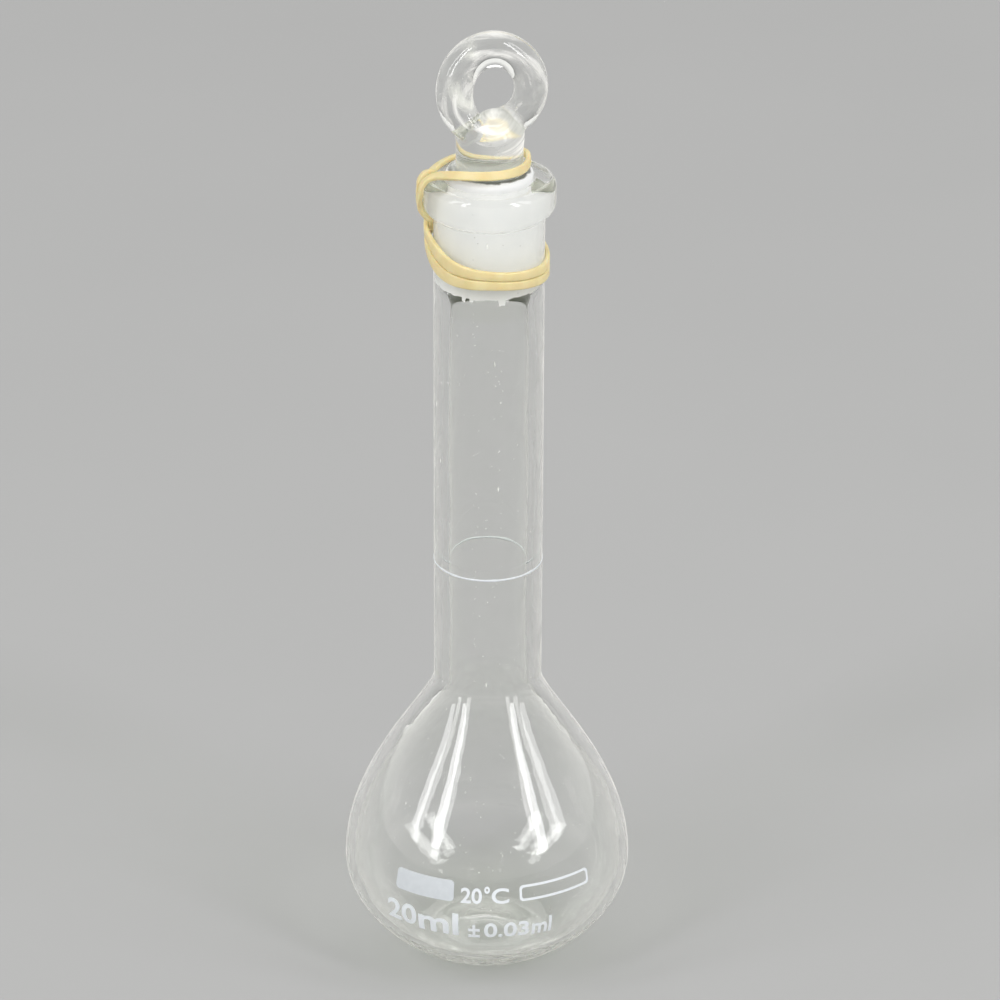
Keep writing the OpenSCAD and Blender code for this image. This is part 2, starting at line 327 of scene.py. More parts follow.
def dust_spots(tree, place, stretch, scale, rarity):
    """How much dust lies at a place: small spots, drawn out along the axis of a small stretch."""
    stretched = vector_node(tree, "MULTIPLY", place, stretch)
    cells = add_node(tree, "ShaderNodeTexVoronoi", None, Vector=stretched, Scale=scale)
    covered = map_range(tree, cells.outputs["Distance"], *SPOT, smooth=True)
    kept = math_node(tree, "GREATER_THAN", cells.outputs["Color"], rarity)
    return math_node(tree, "MULTIPLY", covered, kept)


def painted_streaks_round(tree, place):
    """How much painted white reflection the stopper's glass gets at a place: streaks round its ring
    and a veil on its dome.
    """
    x, _, z = split(tree, place)
    across = math_node(tree, "SUBTRACT", x, RING_X)
    up = math_node(tree, "SUBTRACT", z, RING_H)
    from_middle = joined(tree, across, 0.0, up)
    out = vector_node(tree, "LENGTH", from_middle, output="Value")
    toward_x, _, toward_z = split(tree, vector_node(tree, "NORMALIZE", from_middle))
    drawn = vector_node(tree, "MULTIPLY", joined(tree, toward_x, out, toward_z), PAINTED_STREAK_STRETCH)
    streaks = noise(tree, drawn, scale=1.0, detail=4.0, Distortion=0.4)
    painted_streaks = map_range(tree, streaks, *PAINTED_STREAK_WHITE, smooth=True)
    apart = vector_node(tree, "DISTANCE", place, DOME_AT, output="Value")
    near = map_range(tree, apart, DOME_R + VEIL_FULL_TO, DOME_R + VEIL_ENDS, DOME_PAINTED_VEIL, 0.0,
                     smooth=True)
    return math_node(tree, "ADD", painted_streaks, math_node(tree, "MULTIPLY", near, streaks))


def clear_glass(tree, place, painted_streaks=None):
    """The shader of polished glass: faint waves, a trace of haze, sparse dust, a painted white rim
    highlight where it is seen edge on, and painted streaks where they are given.
    """
    waves = noise(tree, place, scale=0.35, detail=2.0)
    tint = colour_ramp(tree, waves, ((0.3, GLASS_TINT[0]), (0.7, GLASS_TINT[1])))
    rough = map_range(tree, noise(tree, place, scale=1.1, detail=4.0), *HAZE)
    glass = add_node(tree, "ShaderNodeBsdfPrincipled", None, Base_Color=tint, Roughness=rough,
                     IOR=GLASS_IOR, Transmission_Weight=1.0,
                     Normal=bump(tree, waves, strength=0.25, depth_mm=0.08))
    specks = dust_spots(tree, place, stretch=(1, 1, 1), scale=1.1, rarity=0.65)
    dashes = dust_spots(tree, place, stretch=(1, 1, 0.22), scale=0.9, rarity=0.85)
    spots = math_node(tree, "MAXIMUM", specks, dashes)
    # Painted rim highlight: white diffuse where the glass is seen edge on, broken into streaks.
    rim_highlight = colour_ramp(tree, seen_edge_on(tree), RIM_HIGHLIGHT_SEEN)
    drawn = vector_node(tree, "MULTIPLY", place, RIM_HIGHLIGHT_STRETCH)
    streaks = noise(tree, drawn, scale=0.8, detail=2.0, Distortion=0.3)
    rim_highlight = math_node(tree, "MULTIPLY", rim_highlight, map_range(tree, streaks, *RIM_HIGHLIGHT_STREAKED))
    covered = math_node(tree, "MAXIMUM", spots, rim_highlight)
    # Painted reflections on the stopper: white streaks round its ring and a veil on its dome.
    if painted_streaks is not None:
        covered = math_node(tree, "MAXIMUM", covered, painted_streaks)
    # One white diffuse for the dust spots, the painted rim highlight and the painted streaks.
    dust_and_highlight = add_node(tree, "ShaderNodeBsdfDiffuse", None, Color=(*DUST_AND_HIGHLIGHT_COLOUR, 1))
    return let_lamps_through(tree, mixed(tree, covered, glass.outputs[0], dust_and_highlight.outputs[0]))


def ground_glass(tree, place):
    """The shader of a ground face: matt, white, and letting some light through."""
    grain = noise(tree, place, scale=9.0, detail=6.0, Roughness=0.7)
    cloud = noise(tree, place, scale=0.5, detail=3.0)
    white = colour_ramp(tree, cloud, ((0.3, GROUND_WHITE[0]), (0.7, GROUND_WHITE[1])))
    face = add_node(tree, "ShaderNodeBsdfPrincipled", None, Base_Color=white, Roughness=0.62,
                    IOR=GLASS_IOR, Normal=bump(tree, grain, strength=0.5, depth_mm=0.03))
    through = add_node(tree, "ShaderNodeBsdfTranslucent", None, Color=white)
    return mixed(tree, GROUND_LETS_BY, face.outputs[0], through.outputs[0])


def glass_body(tree, output, surface):
    """A surface over the faint green that thick glass takes on along the light's way."""
    tree.links.new(surface, output.inputs["Surface"])
    volume = add_node(tree, "ShaderNodeVolumeAbsorption", None, Color=(*GLASS_DEPTH_TINT, 1),
                      Density=GLASS_DEPTH_DENSITY)
    tree.links.new(volume.outputs[0], output.inputs["Volume"])


def part_ground(tree, output, place, inside, soft):
    """Glass that is ground where inside, the height within the ground zone's edge, is above 0."""
    mask = map_range(tree, inside, -soft, soft, 0.0, 1.0, smooth=True)
    glass_body(tree, output, mixed(tree, mask, clear_glass(tree, place), ground_glass(tree, place)))


def glass_material(name, with_painted_streaks=False):
    material, tree, output, place = new_material(name)
    painted_streaks = painted_streaks_round(tree, place) if with_painted_streaks else None
    glass_body(tree, output, clear_glass(tree, place, painted_streaks))
    return material


def socket_material(edge_h):
    """Ground white down to edge_h, with a ragged edge and a few chips, and clear below."""
    material, tree, output, place = new_material("ground_socket_glass")
    x, y, z = split(tree, place)
    ragged = noise(tree, place, scale=0.7, detail=3.0, Roughness=0.55)
    edge = map_range(tree, ragged, 0.3, 0.7,
                     edge_h + SOCKET_EDGE_RAGGED, edge_h - SOCKET_EDGE_RAGGED)
    turn = math_node(tree, "ARCTAN2", x, math_node(tree, "MULTIPLY", y, -1.0))
    for angle, half_width, drop in GROUND_CHIPS:
        away = math_node(tree, "ABSOLUTE", math_node(tree, "SUBTRACT", turn, math.radians(angle)))
        side = math.radians(half_width), math.radians(half_width + CHIP_SIDE)
        edge = math_node(tree, "SUBTRACT", edge, map_range(tree, away, *side, drop, 0.0))
    part_ground(tree, output, place, math_node(tree, "SUBTRACT", z, edge), SOCKET_EDGE_SOFT)
    return material


def plug_material(top_h):
    """Ground white up to top_h, and polished above it."""
    material, tree, output, place = new_material("ground_plug_glass")
    z = split(tree, place)[2]
    ragged = noise(tree, place, scale=0.9, detail=3.0)
    edge = map_range(tree, ragged, 0.3, 0.7, top_h - PLUG_EDGE_RAGGED, top_h + PLUG_EDGE_RAGGED)
    part_ground(tree, output, place, math_node(tree, "SUBTRACT", edge, z), PLUG_EDGE_SOFT)
    return material


def enamel_material(name, whites):
    material, tree, output, place = new_material(name)
    cloud = noise(tree, place, scale=1.2, detail=4.0, Roughness=0.5)
    white = colour_ramp(tree, cloud, ((0.3, whites[0]), (0.65, whites[1])))
    rough = map_range(tree, cloud, *ENAMEL_ROUGH)
    face = add_node(tree, "ShaderNodeBsdfPrincipled", None, Base_Color=white, Roughness=rough,
                    Normal=bump(tree, cloud, strength=0.2, depth_mm=0.01))
    tree.links.new(face.outputs[0], output.inputs["Surface"])
    return material


def latex_material():
    material, tree, output, place = new_material("pale_latex")
    cloud = noise(tree, place, scale=0.6, detail=4.0)
    yellow = colour_ramp(tree, cloud, ((0.3, LATEX_YELLOW[0]), (0.7, LATEX_YELLOW[1])))
    powder = noise(tree, place, scale=7.0, detail=5.0)
    rough = map_range(tree, powder, *LATEX_ROUGH)
    face = add_node(tree, "ShaderNodeBsdfPrincipled", None, Base_Color=yellow, Roughness=rough,
                    Subsurface_Weight=0.4, Subsurface_Radius=(1.0, 0.6, 0.25),
                    Subsurface_Scale=0.6 * MM,
                    Normal=bump(tree, powder, strength=0.4, depth_mm=0.03))
    tree.links.new(face.outputs[0], output.inputs["Surface"])
    return material


# ---------------------------------------------------------------------------------------------
# Sizes, in millimetres: from the frame where a node shows them
# ---------------------------------------------------------------------------------------------
def node_box(node):
    low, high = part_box(node)
    return [round(v / MM, 2) for v in low], [round(v / MM, 2) for v in high]


neck_low, neck_high = node_box("neck_tube")
socket_low, socket_high = node_box("ground_socket")
bulb_high = node_box("bulb")[1]
mark_low, mark_high = node_box("graduation_ring")
patch_low, patch_high = node_box("writing_patch")
plug_low, plug_high = node_box("stopper_plug")
stem_high = node_box("stopper_stem")[1]

NECK_R = neck_high[0]
NECK_START_H = neck_low[2]
BORE_R = 4.75
BULB_R = bulb_high[0]
BELLY_H = 12.4
BULB_WALL = 1.2
FOOT_R = 6.85
FOOT_WALL = 1.5
KICK_UP = 1.1
FOOT_HANDLE = 2.0
BELLY_DROP = 6.95
BELLY_RISE = 11.5
NECK_HANDLE = 3.65
HEEL_WALL = 0.6
HEEL_EASE = 0.4
SHOULDER_EASE = 0.6
# The blown inner wall's waves: how many go round, how they turn with height, where they start and
# their share. Then how high they are in the bulb and in the neck, and how far below the neck's
# start the change is.
WALL_WAVES = ((2, 0.16, 0.0, 1.0), (3, -0.27, 1.3, 0.6), (5, 0.45, 2.1, 0.4))
BULB_WAVE = 0.05
NECK_WAVE = 0.02
NECK_WAVE_BELOW = 8
# The rings at the heel: their height over the foot, how far they spread, how deep and how close
# they are, and how they wander round the glass: how many times, how far, and where they start.
HEEL_WAVES_H = 3.5
HEEL_WAVES_SPREAD = 2.2
HEEL_WAVE = 0.05
HEEL_RINGS = 5.2
HEEL_WANDERS = ((3, 1.2, 0.7), (7, 0.8, 0.0))

RIM_H = socket_high[2]
COLLAR_R = socket_high[0]
COLLAR_H = 4.7
COLLAR_SIDE_H = 2.0
COLLAR_ROUND = 1.05
# The collar's underside: how far its curve leans out and up at the foot, and how far under the
# collar's side its upper handle and its upper end are.
COLLAR_FOOT_OUT = 0.05
COLLAR_FOOT_UP = 0.5
COLLAR_UNDER = 2.3
COLLAR_UNDER_TOP = 0.8
MOUTH_R = 5.2
MOUTH_ROUND = 0.35
TAPER_UNDER_RIM = 0.6
HALF_TAPER = 1 / 20
SOCKET_START_H = socket_low[2]
GROUND_END_H = SOCKET_START_H + 0.5
GROUND_EDGE_H = SOCKET_START_H + 0.2

PLUG_GAP = 0.03
PLUG_END_H = plug_low[2]
PLUG_TOP_H = plug_high[2]
PLUG_SHOULDER = 1.0
PLUG_ROUND = 0.4
PLUG_GROUND_TO_H = PLUG_TOP_H - PLUG_SHOULDER / 4
STEM_R = stem_high[0]
STEM_SHOULDER_H = 111.2
DOME_R = 3.1
DOME_AT = (0.7, -0.3, 109.8)

RING_X = 0.35
RING_H = 115.4
RING_HALF_W = 4.5
RING_HALF_H = 5.1
RING_ANGLES = (242, -74)
RING_LEAD = 1.8
# The ring's rod swells from its drawn-down start over a short stretch and then thins slowly to its
# end.
ROD_FULL_R = 2.45
ROD_THINS = 0.58
ROD_DRAWN_DOWN = 0.75
ROD_DRAWN_STRETCH = 0.12


def socket_bore(h):
    return MOUTH_R - (RIM_H - h) * HALF_TAPER


# ---------------------------------------------------------------------------------------------
# The flask: one piece of blown glass, outside and inside
# ---------------------------------------------------------------------------------------------
LATHE_SIDES = 192
BULB_STEPS = 44


def bulb_outline():
    low = bezier([FOOT_R, 0], [FOOT_R + FOOT_HANDLE, 0],
                 [BULB_R, BELLY_H - BELLY_DROP], [BULB_R, BELLY_H], BULB_STEPS)
    high = bezier([BULB_R, BELLY_H], [BULB_R, BELLY_H + BELLY_RISE],
                  [NECK_R, NECK_START_H - NECK_HANDLE], [NECK_R, NECK_START_H], BULB_STEPS)
    return np.vstack([low, high[1:]])


def bulb_hollow():
    inner_r = BULB_R - BULB_WALL
    low = bezier([FOOT_R - HEEL_WALL, FOOT_WALL], [FOOT_R + FOOT_HANDLE, FOOT_WALL],
                 [inner_r, BELLY_H - BELLY_DROP + HEEL_EASE], [inner_r, BELLY_H], BULB_STEPS)
    high = bezier([inner_r, BELLY_H], [inner_r, BELLY_H + BELLY_RISE - SHOULDER_EASE / 2],
                  [BORE_R, NECK_START_H - NECK_HANDLE - SHOULDER_EASE], [BORE_R, NECK_START_H],
                  BULB_STEPS)
    return np.vstack([low, high[1:]])


def foot_dome(r_end, base, steps):
    r = np.linspace(0, r_end, steps + 1)
    return np.stack([r, base + KICK_UP * (1 + np.cos(math.pi * r / r_end)) / 2], axis=1)


def make_flask(clear, ground):
    collar_start = [NECK_R, RIM_H - COLLAR_H]
    side_h = RIM_H - COLLAR_SIDE_H
    taper_top_h = RIM_H - TAPER_UNDER_RIM
    outside = [
        foot_dome(FOOT_R - 2 * HEEL_WALL, base=0, steps=14),
        line([FOOT_R - 2 * HEEL_WALL, 0], [FOOT_R, 0], 3)[1:-1],
        bulb_outline(),
        line([NECK_R, NECK_START_H], collar_start, 40)[1:-1],
        bezier(collar_start, [NECK_R + COLLAR_FOOT_OUT, collar_start[1] + COLLAR_FOOT_UP],
               [COLLAR_R, side_h - COLLAR_UNDER], [COLLAR_R, side_h - COLLAR_UNDER_TOP], 18),
        arc(COLLAR_R - COLLAR_ROUND, RIM_H - COLLAR_ROUND, COLLAR_ROUND, 0, 90, 10),
        arc(MOUTH_R + MOUTH_ROUND, RIM_H - MOUTH_ROUND, MOUTH_ROUND, 90, 180, 6),
    ]
    taper = line([socket_bore(taper_top_h), taper_top_h],
                 [socket_bore(GROUND_END_H), GROUND_END_H], 24)
    inside = [
        line([BORE_R, SOCKET_START_H], [BORE_R, NECK_START_H], 40)[:-1],
        bulb_hollow()[::-1],
        foot_dome(FOOT_R - HEEL_WALL, base=FOOT_WALL, steps=14)[::-1][1:],
    ]
    profile = np.vstack([*outside, taper, *inside])
    first_taper_row = len(np.vstack(outside))
    first_inside_row = first_taper_row + len(taper)

    def ripple(angles, z, row):
        """The blown inner wall is not quite even."""
        if row < first_inside_row:
            return 0 * angles
        t = np.radians(angles)
        swell = sum(share * np.sin(count * t + turn * z + start)
                    for count, turn, start, share in WALL_WAVES)
        height = BULB_WAVE if z < NECK_START_H - NECK_WAVE_BELOW else NECK_WAVE
        heel = HEEL_WAVE * math.exp(-((z - HEEL_WAVES_H) / HEEL_WAVES_SPREAD) ** 2)
        wander = sum(far * np.sin(count * t + start) for count, far, start in HEEL_WANDERS)
        return height * swell + heel * np.sin(HEEL_RINGS * z + wander)

    points, faces = lathe(profile, LATHE_SIDES, ripple)
    end_cap = np.zeros(LATHE_SIDES)
    ring_of_face = np.concatenate([
        end_cap, np.repeat(np.arange(len(profile) - 3), LATHE_SIDES), end_cap])
    on_taper = (ring_of_face + 1 >= first_taper_row - 1) & (ring_of_face + 1 < first_inside_row + 2)
    piece = mesh_object("flask_glass", points, faces, [clear, ground], on_taper.astype(int),
                        sharp=50)
    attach(piece, "flask")
    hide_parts("bulb", "neck_tube", "ground_socket")


# ---------------------------------------------------------------------------------------------
# Enamel: the ring mark, the writing patch and the printed figures, all hugging the glass
# ---------------------------------------------------------------------------------------------
ENAMEL_DEPTH = 0.05
ENAMEL_SINK = 0.02
PRINT_CELL = 0.45
PATCH_CORNER = 0.5
FIELD_LINE = 0.3
LETTER_WEIGHT = 0.02
SLOPE_STEP = 0.05

# The ring mark: its width as a share of the CAD ring's, its section from edge to edge as how far
# out and how far across, and how its height wanders: how many times round, how far, and where it
# starts.
MARK_SIDES = 256
MARK_WIDTH = 0.9
MARK_SECTION = (
    (-ENAMEL_SINK, -1.0),
    (ENAMEL_DEPTH * 0.8, -0.85),
    (ENAMEL_DEPTH, 0.0),
    (ENAMEL_DEPTH * 0.8, 0.85),
    (-ENAMEL_SINK, 1.0),
)
MARK_WANDERS = ((7, 0.02, 1.0), (17, 0.015, 0.0))

# The writing patch's left and right angle, and the bulb's radius about where it lies.
PATCH_ANGLES = (-39.3, -13.3)
PATCH_BULB_R = NECK_R * 2.6
# Each text: what it says, its left and right angle, its lower and upper height.
FIGURES = (
    ("20", -10.4, -1.8, 14.85, 16.85),
    ("°", -0.9, 1.4, 16.2, 17.1),
    ("C", 2.1, 9.2, 14.85, 16.85),
    ("20", -43.2, -29.2, 10.35, 13.2),
    ("ml", -28.2, -11.2, 10.1, 13.3),
    ("±", -7.3, -2.6, 9.95, 11.9),
    ("0.03", -0.9, 17.3, 10.0, 12.2),
    ("ml", 18.6, 27.0, 9.95, 12.3),
)
# The empty outlined field: its left and right angle, its lower and upper height.
FIELD = (13.5, 45.5, 14.95, 17.0)


def on_bulb(outline, angle, h, out):
    """The point on the bulb's outside at that angle and height, moved outwards by out."""
    r = np.interp(h, outline[:, 1], outline[:, 0])
    up = np.interp(h + SLOPE_STEP, outline[:, 1], outline[:, 0])
    down = np.interp(h - SLOPE_STEP, outline[:, 1], outline[:, 0])
    slope = (up - down) / (2 * SLOPE_STEP)
    lean = np.sqrt(1 + slope**2)
    return round_at(angle, r + out / lean, h - out * slope / lean)


def cut_in_cells(shell, cell):
    """Cuts a flat shape along a grid, so that it can bend."""
    xs = [v.co.x for v in shell.verts]
    ys = [v.co.y for v in shell.verts]
    for axis, low, high in ((0, min(xs), max(xs)), (1, min(ys), max(ys))):
        count = max(1, math.ceil((high - low) / cell))
        for i in range(1, count):
            at, normal = [0, 0, 0], [0, 0, 0]
            at[axis] = low + (high - low) * i / count
            normal[axis] = 1
            everything = shell.verts[:] + shell.edges[:] + shell.faces[:]
            bmesh.ops.bisect_plane(shell, geom=everything, plane_co=at, plane_no=normal, dist=1e-5)


def from_lowest(face):
    """The same face, starting at its lowest point."""
    first = face.index(min(face))
    return face[first:] + face[:first]


def print_on_bulb(name, shell, outline, left, right, low, high, enamel):
    """Lays a flat shell, drawn in X and Y with its thickness in Z, over that part of the bulb."""
    cut_in_cells(shell, PRINT_CELL)
    flat = np.array([v.co[:] for v in shell.verts])
    span = np.ptp(flat[:, :2], axis=0)
    start = flat[:, :2].min(axis=0)
    angle = left + (flat[:, 0] - start[0]) / span[0] * (right - left)
    height = low + (flat[:, 1] - start[1]) / span[1] * (high - low)
    placed = on_bulb(outline, angle, height, flat[:, 2])
    # The cuts leave the faces in another order each run, so they are put in one order.
    faces = sorted(from_lowest([v.index for v in f.verts]) for f in shell.faces)
    shell.free()
    piece = mesh_object(name, placed, faces, [enamel], sharp=40)
    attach(piece, "flask")
    return piece


def thicken(shell):
    """Gives a flat shape the enamel's thickness, from just inside the glass to its face."""
    bmesh.ops.translate(shell, verts=shell.verts, vec=(0, 0, -ENAMEL_SINK))
    made = bmesh.ops.extrude_face_region(shell, geom=shell.faces[:])
    moved = [g for g in made["geom"] if isinstance(g, bmesh.types.BMVert)]
    bmesh.ops.translate(shell, verts=moved, vec=(0, 0, ENAMEL_DEPTH + ENAMEL_SINK))
    shell.verts.index_update()


def rounded_outline(w, h, corner):
    corners = ((w - corner, corner, -90), (w - corner, h - corner, 0), (corner, h - corner, 90),
               (corner, corner, 180))
    return np.vstack([arc(x, y, corner, start, start + 90, 8) for x, y, start in corners])


def make_patch(outline, enamel):
    left, right = PATCH_ANGLES
    low, high = patch_low[2], patch_high[2]
    shell = bmesh.new()
    rim = rounded_outline(math.radians(right - left) * PATCH_BULB_R, high - low, PATCH_CORNER)
    shell.faces.new([shell.verts.new((x, y, 0)) for x, y in rim])
    thicken(shell)
    piece = print_on_bulb("writing_patch_enamel", shell, outline, left, right, low, high, enamel)
    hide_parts("writing_patch")


def make_field(outline, enamel):
    left, right, low, high = FIELD
    w, h = math.radians(right - left) * BULB_R, high - low
    shell = bmesh.new()
    outer = [shell.verts.new((x, y, 0)) for x, y in rounded_outline(w, h, PATCH_CORNER)]
    inner = [shell.verts.new((x + FIELD_LINE, y + FIELD_LINE, 0)) for x, y in
             rounded_outline(w - 2 * FIELD_LINE, h - 2 * FIELD_LINE, PATCH_CORNER - FIELD_LINE / 2)]
    count = len(outer)
    for i in range(count):
        after = (i + 1) % count
        shell.faces.new((outer[i], outer[after], inner[after], inner[i]))
    thicken(shell)
    print_on_bulb("empty_field_enamel", shell, outline, left, right, low, high, enamel)


def make_figures(outline, enamel):
    for number, (words, left, right, low, high) in enumerate(FIGURES):
        curve = bpy.data.curves.new("figures", "FONT")
        curve.body = words
        curve.offset = LETTER_WEIGHT
        curve.resolution_u = 6
        holder = bpy.data.objects.new("figures", curve)
        bpy.context.collection.objects.link(holder)
        depsgraph = bpy.context.evaluated_depsgraph_get()
        flat = bpy.data.meshes.new_from_object(holder.evaluated_get(depsgraph))
        bpy.data.objects.remove(holder)
        shell = bmesh.new()
        shell.from_mesh(flat)
        bmesh.ops.remove_doubles(shell, verts=shell.verts, dist=1e-4)
        size = (high - low) / np.ptp([v.co.y for v in shell.verts])
        bmesh.ops.scale(shell, verts=shell.verts, vec=(size, size, 1))
        thicken(shell)
        print_on_bulb(f"figures_{number + 1}", shell, outline, left, right, low, high, enamel)


def make_mark(enamel):
    """The ring mark: a fine fired line, not quite even in height."""
    angles = np.arange(MARK_SIDES) * 360 / MARK_SIDES
    t = np.radians(angles)
    middle = (mark_low[2] + mark_high[2]) / 2
    half = (mark_high[2] - mark_low[2]) / 2 * MARK_WIDTH
    uneven = sum(far * np.sin(count * t + start) for count, far, start in MARK_WANDERS)
    points = np.vstack([round_at(angles, NECK_R + out, middle + across * (half + uneven))
                        for out, across in MARK_SECTION])
    faces = torus_faces(len(MARK_SECTION), MARK_SIDES)
    piece = mesh_object("ring_mark_enamel", points, faces, [enamel])
    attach(piece, "flask")
    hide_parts("graduation_ring")


# ---------------------------------------------------------------------------------------------
# The stopper: plug, stem and curled ring as one smooth surface of a distance field
# ---------------------------------------------------------------------------------------------
STOPPER_CELL = 0.16
STOPPER_ROUNDS = 3
SLOPE_REACH = 0.01
GROUND_SHORT_OF_TOP = 0.05
STEM_ROUND = 1.5
STEM_FOOT = 0.35
DOME_BLEND = 0.9
RING_BLEND = 0.4
RING_SAMPLES = 64


def stopper_outline():
    """The plug and the stem as one turned outline, from the plug's end to the stem's shoulder."""
    end_r = socket_bore(PLUG_END_H) - PLUG_GAP
    top_r = socket_bore(PLUG_TOP_H) - PLUG_GAP
    return np.vstack([
        [[0, PLUG_END_H]],
        arc(end_r - PLUG_ROUND, PLUG_END_H + PLUG_ROUND, PLUG_ROUND, -90, 0, 6),
        arc(top_r - PLUG_SHOULDER, PLUG_TOP_H - PLUG_SHOULDER, PLUG_SHOULDER, 3, 90, 10),
        arc(STEM_R + STEM_FOOT, PLUG_TOP_H + STEM_FOOT, STEM_FOOT, 270, 180, 5),
        arc(STEM_R - STEM_ROUND, STEM_SHOULDER_H - STEM_ROUND, STEM_ROUND, 0, 90, 12),
        [[0, STEM_SHOULDER_H]],
    ])


def ring_path():
    """The middle and the radius of the ring's rod, from in front of the stem to behind it."""
    s = np.linspace(0, 1, RING_SAMPLES)
    a = np.radians(RING_ANGLES[0] + (RING_ANGLES[1] - RING_ANGLES[0]) * s)
    middle = np.stack([
        RING_X + RING_HALF_W * np.cos(a),
        RING_LEAD * (2 * s - 1),
        RING_H + RING_HALF_H * np.sin(a)], axis=1)
    return middle, ROD_FULL_R - ROD_THINS * s - ROD_DRAWN_DOWN * np.exp(-s / ROD_DRAWN_STRETCH)


def segment_distance(points, start, end):
    """Distance of each point from each segment, and how far along it the nearest place is."""
    run = end - start
    away = [points[:, axis, None] - start[None, :, axis] for axis in range(points.shape[1])]
    along = sum(gap * step for gap, step in zip(away, run.T)) / (run * run).sum(axis=1)
    along = np.clip(along, 0, 1)
    left_over = sum((gap - along * step) ** 2 for gap, step in zip(away, run.T))
    return np.sqrt(left_over), along


def blended(a, b, width):
    """The smaller of two distances, with the corner between them rounded over that width."""
    share = np.clip(0.5 + 0.5 * (a - b) / width, 0, 1)
    return a * (1 - share) + b * share - width * share * (1 - share)


def stopper_distance(points, outline, middle, radius):
    """Signed distance from the stopper's surface: turned body, dome and ring, blended."""
    flat = np.stack([np.hypot(points[:, 0], points[:, 1]), points[:, 2]], axis=1)
    body = segment_distance(flat, outline[:-1], outline[1:])[0].min(axis=1)
    crossings = np.zeros(len(flat), dtype=int)
    for (r0, z0), (r1, z1) in zip(outline[:-1], outline[1:]):
        if z0 != z1:
            spans = (flat[:, 1] >= min(z0, z1)) & (flat[:, 1] < max(z0, z1))
            crossing_r = r0 + (flat[:, 1] - z0) / (z1 - z0) * (r1 - r0)
            crossings += spans & (crossing_r > flat[:, 0])
    body = np.where(crossings % 2 == 1, -body, body)
    dome = np.linalg.norm(points - DOME_AT, axis=1) - DOME_R
    away, along = segment_distance(points, middle[:-1], middle[1:])
    ring = (away - (radius[:-1] + along * (radius[1:] - radius[:-1]))).min(axis=1)
    return blended(blended(body, dome, DOME_BLEND), ring, RING_BLEND)


def in_parts(function, points, size=2000):
    return np.concatenate([function(points[i:i + size]) for i in range(0, len(points), size)])


def rod_mesh(middle, radius, sides=20):
    """A plain tube along the ring's rod, closed by its two end caps."""
    points, faces = [], []
    for i, (c, r) in enumerate(zip(middle, radius)):
        ahead = middle[min(i + 1, len(middle) - 1)] - middle[max(i - 1, 0)]
        ahead /= np.linalg.norm(ahead)
        across = np.cross(ahead, (0, 1, 0))
        across /= np.linalg.norm(across)
        other = np.cross(ahead, across)
        for k in range(sides):
            t = 2 * math.pi * k / sides
            points.append(c + r * (math.cos(t) * across + math.sin(t) * other))
        if i:
            faces += band_of_faces((i - 1) * sides, i * sides, sides)
    faces.append(list(range(sides)))
    faces.append(list(range(len(points) - 1, len(points) - 1 - sides, -1)))
    return np.array(points), faces


def remeshed(parts, cell):
    """Points and faces of one skin round several closed meshes."""
    points, faces = [], []
    for part_points, part_faces in parts:
        offset = len(points)
        points.extend(part_points.tolist())
        faces.extend([[offset + i for i in face] for face in part_faces])
    mesh = bpy.data.meshes.new("skin")
    mesh.from_pydata(points, [], faces)
    shell = bmesh.new()
    shell.from_mesh(mesh)
    bmesh.ops.recalc_face_normals(shell, faces=shell.faces)
    shell.to_mesh(mesh)
    shell.free()
    holder = bpy.data.objects.new("skin", mesh)
    bpy.context.collection.objects.link(holder)
    remesh = holder.modifiers.new("remesh", "REMESH")
    remesh.mode = "VOXEL"
    remesh.voxel_size = cell
    made = holder.evaluated_get(bpy.context.evaluated_depsgraph_get()).to_mesh()
    skin_points = np.array([v.co[:] for v in made.vertices])
    skin_faces = [list(p.vertices) for p in made.polygons]
    bpy.data.objects.remove(holder)
    return skin_points, skin_faces


def settled(points, distance):
    """Each point moved along the slope of the distance field onto its surface."""
    here = in_parts(distance, points)
    steps = np.eye(3) * SLOPE_REACH
    rise = np.stack([in_parts(distance, points + step) - here for step in steps], axis=1)
    slope = rise / SLOPE_REACH
    slope /= np.maximum(np.linalg.norm(slope, axis=1), 1e-6)[:, None]
    return points - here[:, None] * slope


def relaxed(points, faces):
    """Each point moved to the middle of its neighbours along the faces' edges."""
    total = np.zeros_like(points)
    count = np.zeros(len(points))
    for here, there in ((faces, np.roll(faces, 1, axis=1)), (faces, np.roll(faces, -1, axis=1))):
        np.add.at(total, here.ravel(), points[there.ravel()])
        np.add.at(count, here.ravel(), 1)
    return total / count[:, None]


def make_stopper(clear, ground):
    outline = stopper_outline()
    middle, radius = ring_path()
    dome_points, dome_faces = lathe(arc(0, DOME_AT[2], DOME_R, -90, 90, 24), sides=48)
    dome = (dome_points + (DOME_AT[0], DOME_AT[1], 0), dome_faces)
    body = lathe(outline, sides=96)
    points, faces = remeshed([body, dome, rod_mesh(middle, radius)], STOPPER_CELL)
    quads = np.array(faces)
    for _ in range(STOPPER_ROUNDS):
        points = relaxed(relaxed(points, quads), quads)
        points = settled(points, lambda p: stopper_distance(p, outline, middle, radius))
    centres = points[quads].mean(axis=1)
    r = np.hypot(centres[:, 0], centres[:, 1])
    bore = MOUTH_R - (RIM_H - centres[:, 2]) * HALF_TAPER - PLUG_GAP
    depth = np.where(centres[:, 2] > PLUG_TOP_H - PLUG_SHOULDER, PLUG_SHOULDER, PLUG_ROUND)
    on_side = (centres[:, 2] < PLUG_TOP_H - GROUND_SHORT_OF_TOP) & (r > bore - depth)
    piece = mesh_object("stopper_glass", points, faces, [clear, ground], on_side.astype(int))
    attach(piece, "stopper")
    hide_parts("stopper_plug", "stopper_stem", "stopper_ring")


